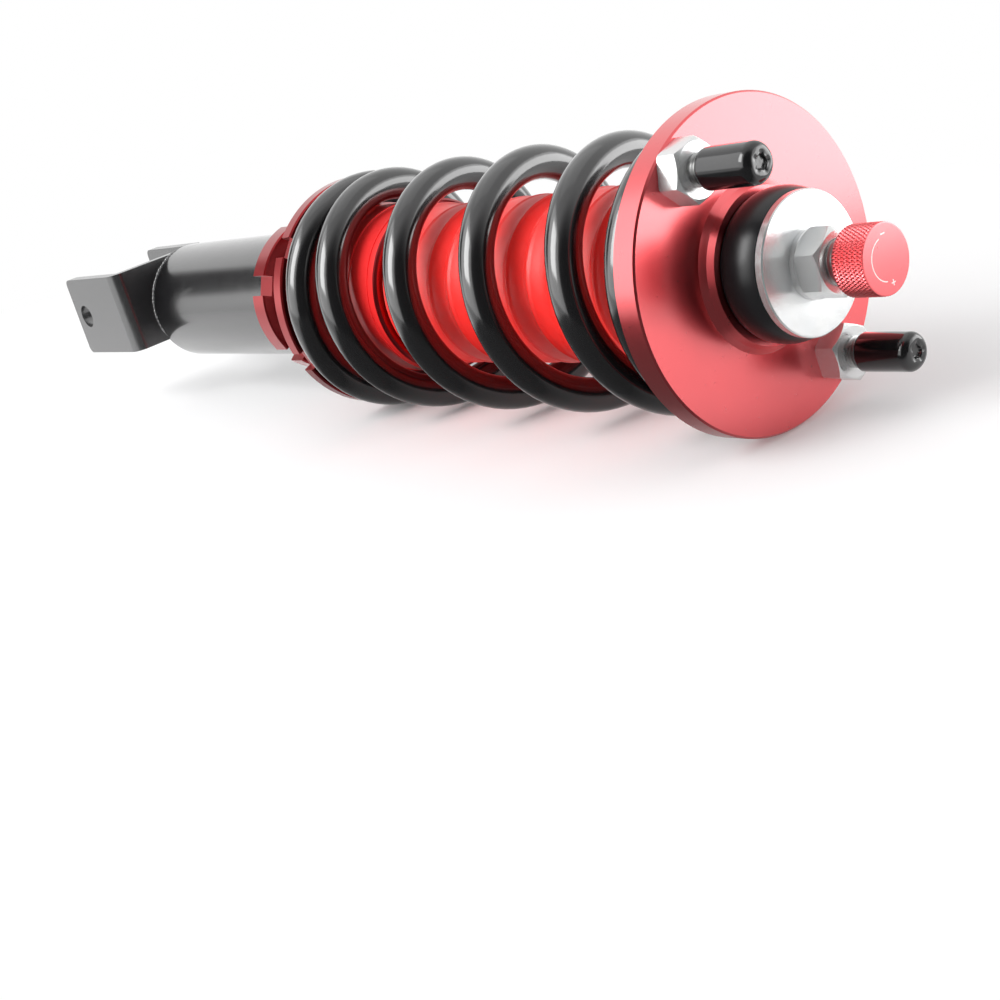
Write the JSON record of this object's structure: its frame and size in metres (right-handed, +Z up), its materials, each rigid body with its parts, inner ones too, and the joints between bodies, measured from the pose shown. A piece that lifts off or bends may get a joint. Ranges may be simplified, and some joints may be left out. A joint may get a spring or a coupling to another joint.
{
  "type": "coilover damper",
  "caption": "Height-adjustable coilover: threaded damper in a fork bracket, coil spring between a notched perch and a round stud-mounted top plate, knurled damping knob.",
  "frame": {"origin": "centre of the fork's cross bolt hole, midway between its ears", "axes": "+X along the damper towards the top plate, +Y along the fork bolt, +Z up"},
  "size_m": [0.4471, 0.104, 0.104],
  "materials": {
    "black_satin": "satin black powder coat",
    "black_gloss": "smooth gloss black paint",
    "red_anodised": "satin red anodising with bright edges",
    "black_rubber": "matte black rubber",
    "red_rubber": "matte red moulded rubber",
    "zinc": "bright zinc plate",
    "chrome": "hard chrome, polished",
    "thread_steel": "zinc-plated thread",
    "steel": "machined steel",
    "black_vinyl": "glossy black vinyl",
    "foam": "tan microcellular foam",
    "brass": "turned brass",
    "bronze": "bronze bearing metal",
    "piston_alloy": "machined aluminium",
    "band": "filled PTFE"
  },
  "bodies": {
    "bracket": {"fork_bracket": "black_satin", "bracket_tube": "black_gloss", "weld_bead": "black_satin"},
    "lock_ring": {"bracket_lock_ring": "red_anodised"},
    "damper": {"damper_tube": "thread_steel", "base_plug": "piston_alloy", "gas_valve": "brass", "gland": "piston_alloy", "gland_oring": "black_rubber", "guide_bush": "bronze", "rod_seal": "black_rubber", "wiper": "black_rubber", "dust_boot": "red_rubber"},
    "gas_side": {"gas_piston": "piston_alloy", "gas_piston_seal": "black_rubber"},
    "spring_seat": {"spring_pad": "black_rubber", "coil_spring": "black_gloss"},
    "perch": {"spring_perch": "red_anodised", "perch_lock_ring": "red_anodised"},
    "rod": {"piston_rod": "chrome", "piston": "piston_alloy", "piston_band": "band", "compression_shims": "steel", "rebound_shims": "steel", "piston_nut": "steel", "rebound_stop": "black_rubber", "bump_stop": "foam", "lower_washer": "zinc", "lower_bush": "black_rubber", "mount_sleeve": "zinc", "upper_bush": "black_rubber", "upper_washer": "zinc", "lock_washer": "zinc", "rod_nut": "zinc"},
    "top_mount": {"top_plate": "red_anodised", "studs": "thread_steel", "stud_nuts": "zinc"},
    "upper_cap": {"stud_cap_upper": "black_vinyl"},
    "lower_cap": {"stud_cap_lower": "black_vinyl"},
    "adjuster": {"knob": "red_anodised", "knob_screw": "steel", "adjuster_shaft": "steel"},
    "needle": {"metering_needle": "brass"}
  },
  "joints": [
    {"name": "lock_ring_turn", "type": "hinge", "parent": "bracket", "child": "lock_ring", "pos_m": [0, 0.015, -0.0065], "axis": [1, 0, 0], "range_deg": [0, 5401]},
    {"name": "bracket_height", "type": "slide", "parent": "bracket", "child": "damper", "axis": [1, 0, 0], "range_m": [0, 0.03]},
    {"name": "gas_piston_slide", "type": "slide", "parent": "damper", "child": "gas_side", "axis": [1, 0, 0], "range_m": [-0.009, 0]},
    {"name": "perch_height", "type": "slide", "parent": "damper", "child": "spring_seat", "axis": [1, 0, 0], "range_m": [-0.015, 0]},
    {"name": "perch_turn", "type": "hinge", "parent": "spring_seat", "child": "perch", "pos_m": [0, 0.015, -0.0065], "axis": [1, 0, 0], "range_deg": [-2701, 0]},
    {"name": "damper_stroke", "type": "slide", "parent": "damper", "child": "rod", "axis": [1, 0, 0], "range_m": [-0.055, 0], "stiffness_N_per_m": 85000, "springref_m": 0.002, "deforming": ["coil_spring", "dust_boot"]},
    {"name": "top_plate_turn", "type": "hinge", "parent": "rod", "child": "top_mount", "pos_m": [0, 0.015, -0.0065], "axis": [1, 0, 0], "range_deg": [-180, 180]},
    {"name": "upper_cap_pull", "type": "slide", "parent": "top_mount", "child": "upper_cap", "axis": [1, 0, 0], "range_m": [0, 0.02]},
    {"name": "lower_cap_pull", "type": "slide", "parent": "top_mount", "child": "lower_cap", "axis": [1, 0, 0], "range_m": [0, 0.02]},
    {"name": "knob_turn", "type": "hinge", "parent": "rod", "child": "adjuster", "pos_m": [0, 0.015, -0.0065], "axis": [1, 0, 0], "range_deg": [-721, 0]},
    {"name": "needle_feed", "type": "slide", "parent": "adjuster", "child": "needle", "axis": [1, 0, 0], "range_m": [-0.001, 0]}
  ],
  "couplings": [
    {"joint": "lock_ring_turn", "follows": "bracket_height", "rad_per_m": 3141.6},
    {"joint": "perch_turn", "follows": "perch_height", "rad_per_m": 3141.6},
    {"joint": "gas_piston_slide", "follows": "damper_stroke", "ratio": 0.16},
    {"joint": "knob_turn", "follows": "needle_feed", "rad_per_m": 12566}
  ]
}
